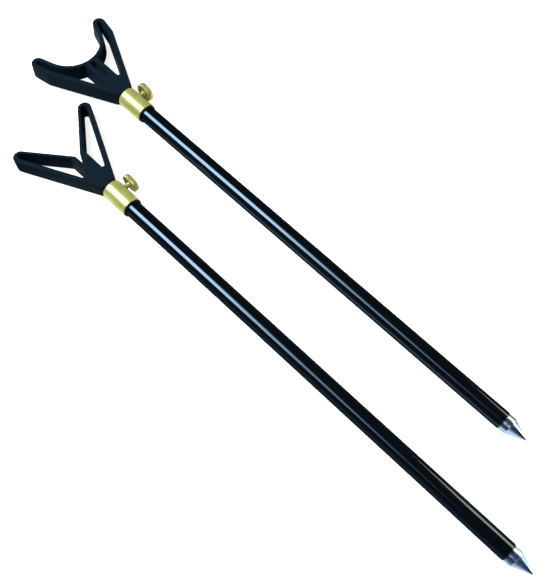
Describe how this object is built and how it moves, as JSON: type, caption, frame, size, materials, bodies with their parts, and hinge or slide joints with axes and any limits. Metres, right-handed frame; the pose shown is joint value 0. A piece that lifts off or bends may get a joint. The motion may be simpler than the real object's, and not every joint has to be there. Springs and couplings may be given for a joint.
{
  "type": "telescopic rod rest",
  "caption": "Telescopic rod rests lying side by side, one with a V head and one with a cradle head: black tube, brass collar with thumbscrew, steel ground point.",
  "frame": {"origin": "middle of the pair's footprint, on the surface the rests lie on", "axes": "+Y along both tubes, from the ground points to the heads; +X from the front rest (V head) to the rear rest (cradle head); +Z up as the pair lies. To stand a rest up for use, turn it +90 degrees about X, so that +Y points up"},
  "size_m": [0.1642, 0.6206, 0.0236],
  "materials": {
    "tube_lacquer": "gloss black lacquer on metal tube",
    "polished_steel": "polished",
    "collar_brass": "turned and polished",
    "knurled_brass": "turned, knurled rim",
    "plain_brass": "as turned",
    "inner_aluminium": "drawn tube, satin",
    "white_nylon": "natural nylon",
    "head_plastic": "satin black moulding"
  },
  "bodies": {
    "inner_tubes": {"front_inner_tube": "inner_aluminium", "front_head_socket": "plain_brass", "front_guide_bush": "white_nylon", "rear_inner_tube": "inner_aluminium", "rear_head_socket": "plain_brass", "rear_guide_bush": "white_nylon"},
    "front_barrel": {"front_outer_tube": "tube_lacquer", "front_ground_point": "polished_steel", "front_collar": "collar_brass"},
    "front_rest_head": {"front_head": "head_plastic", "front_head_stud": "plain_brass"},
    "front_pad": {"front_clamp_pad": "white_nylon"},
    "front_screw": {"front_thumbscrew": "knurled_brass"},
    "rear_barrel": {"rear_outer_tube": "tube_lacquer", "rear_ground_point": "polished_steel", "rear_collar": "collar_brass"},
    "rear_rest_head": {"rear_head": "head_plastic", "rear_head_stud": "plain_brass"},
    "rear_pad": {"rear_clamp_pad": "white_nylon"},
    "rear_screw": {"rear_thumbscrew": "knurled_brass"}
  },
  "joints": [
    {"name": "front_telescope", "type": "slide", "parent": "inner_tubes", "child": "front_barrel", "axis": [0, -1, -0.0038], "range_m": [0, 0.3715]},
    {"name": "front_head_turn", "type": "hinge", "parent": "inner_tubes", "child": "front_rest_head", "pos_m": [-0.03766, 0.15908, 0.00971], "axis": [0, 1, 0.0038], "continuous": true},
    {"name": "front_pad_travel", "type": "slide", "parent": "front_barrel", "child": "front_pad", "axis": [0.9999, 0.0001, -0.0157], "range_m": [0, 0.0016]},
    {"name": "front_screw_turn", "type": "hinge", "parent": "front_pad", "child": "front_screw", "pos_m": [-0.03766, 0.15068, 0.00967], "axis": [0.9999, 0.0001, -0.0157], "range_deg": [0, 720]},
    {"name": "rear_telescope", "type": "slide", "parent": "inner_tubes", "child": "rear_barrel", "axis": [0.0019, -1, -0.0072], "range_m": [0, 0.3715]},
    {"name": "rear_head_turn", "type": "hinge", "parent": "inner_tubes", "child": "rear_rest_head", "pos_m": [0.03814, 0.22308, 0.01122], "axis": [-0.0019, 1, 0.0072], "continuous": true},
    {"name": "rear_pad_travel", "type": "slide", "parent": "rear_barrel", "child": "rear_pad", "axis": [0.9963, 0.0025, -0.0854], "range_m": [0, 0.0016]},
    {"name": "rear_screw_turn", "type": "hinge", "parent": "rear_pad", "child": "rear_screw", "pos_m": [0.03815, 0.21468, 0.01116], "axis": [0.9963, 0.0025, -0.0854], "range_deg": [0, 720]}
  ],
  "couplings": [
    {"joint": "front_pad_travel", "follows": "front_screw_turn", "m_per_rad": 0.00012732},
    {"joint": "rear_pad_travel", "follows": "rear_screw_turn", "m_per_rad": 0.00012732}
  ]
}
